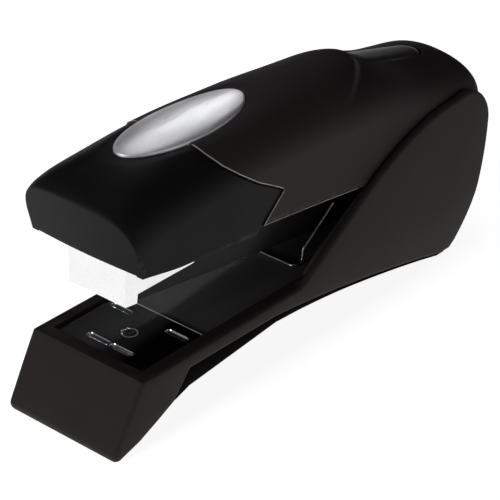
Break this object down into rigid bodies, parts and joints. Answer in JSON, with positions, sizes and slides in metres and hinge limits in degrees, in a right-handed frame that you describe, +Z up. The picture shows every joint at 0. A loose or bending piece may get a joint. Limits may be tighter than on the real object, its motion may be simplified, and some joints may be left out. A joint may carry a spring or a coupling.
{
  "type": "stapler",
  "caption": "Half-strip desk stapler: raked plastic base with high rear cheeks, turning anvil, hinged steel magazine and domed two-part handle with a blank oval badge.",
  "frame": {"origin": "under the middle of the stapler, on the surface it stands on", "axes": "+X towards the nose, +Y to the left side, +Z up"},
  "size_m": [0.136, 0.0352, 0.0657],
  "materials": {
    "shell": "fine-textured brownish black moulding",
    "cover": "satin black moulding",
    "sole": "black rubber",
    "black_steel": "gloss black paint on steel",
    "bright_steel": "bright nickel plate",
    "badge_metal": "brushed, clear lacquered",
    "zinc_steel": "zinc plated",
    "spring_steel": "oiled spring steel",
    "staples": "galvanised wire",
    "inner_plastic": "black nylon"
  },
  "bodies": {
    "base": {"base_shell": "shell", "rubber_sole": "sole", "chassis": "black_steel", "base_screws": "zinc_steel", "hinge_pin": "zinc_steel", "hinge_washers": "zinc_steel", "lift_spring": "spring_steel"},
    "anvil": {"anvil_plate": "black_steel", "anvil_stem": "zinc_steel", "anvil_button": "inner_plastic", "anvil_spring": "spring_steel"},
    "magazine": {"magazine_channel": "black_steel", "front_cap": "bright_steel", "blade_guide": "zinc_steel", "staple_rail": "zinc_steel", "staple_strip": "staples", "rail_block": "inner_plastic", "guide_rod": "zinc_steel", "pusher_spring": "spring_steel", "magazine_rivets": "zinc_steel"},
    "pusher": {"pusher": "zinc_steel"},
    "handle": {"nose_cover": "cover", "handle_cover": "shell", "badge": "badge_metal", "handle_frame": "zinc_steel", "cover_screws": "zinc_steel", "driver_blade": "spring_steel", "return_spring": "spring_steel", "button_spring": "spring_steel"},
    "release_button": {"release_button": "shell"}
  },
  "joints": [
    {"name": "magazine_hinge", "type": "hinge", "parent": "base", "child": "magazine", "pos_m": [-0.052, 0, 0.0303], "axis": [0, -1, 0], "range_deg": [-7.9, 20], "stiffness_Nm_per_rad": 1, "springref_deg": 3.44, "deforming": ["lift_spring"]},
    {"name": "handle_hinge", "type": "hinge", "parent": "magazine", "child": "handle", "pos_m": [-0.052, 0, 0.0303], "axis": [0, -1, 0], "range_deg": [-4.5, 45], "stiffness_Nm_per_rad": 1, "springref_deg": 2.01, "deforming": ["return_spring"]},
    {"name": "pusher_slide", "type": "slide", "parent": "magazine", "child": "pusher", "axis": [0.9905, 0, 0.1374], "range_m": [-0.05, 0], "stiffness_N_per_m": 15, "springref_m": 0.04, "deforming": ["pusher_spring"]},
    {"name": "button_press", "type": "slide", "parent": "handle", "child": "release_button", "axis": [0, 0, -1], "range_m": [0, 0.0018], "stiffness_N_per_m": 60, "springref_m": -0.002, "deforming": ["button_spring"]},
    {"name": "anvil_lift", "type": "slide", "parent": "base", "child": "anvil", "axis": [0, 0, 1], "range_m": [0, 0.002], "stiffness_N_per_m": 100, "springref_m": -0.004, "deforming": ["anvil_spring"]}
  ]
}
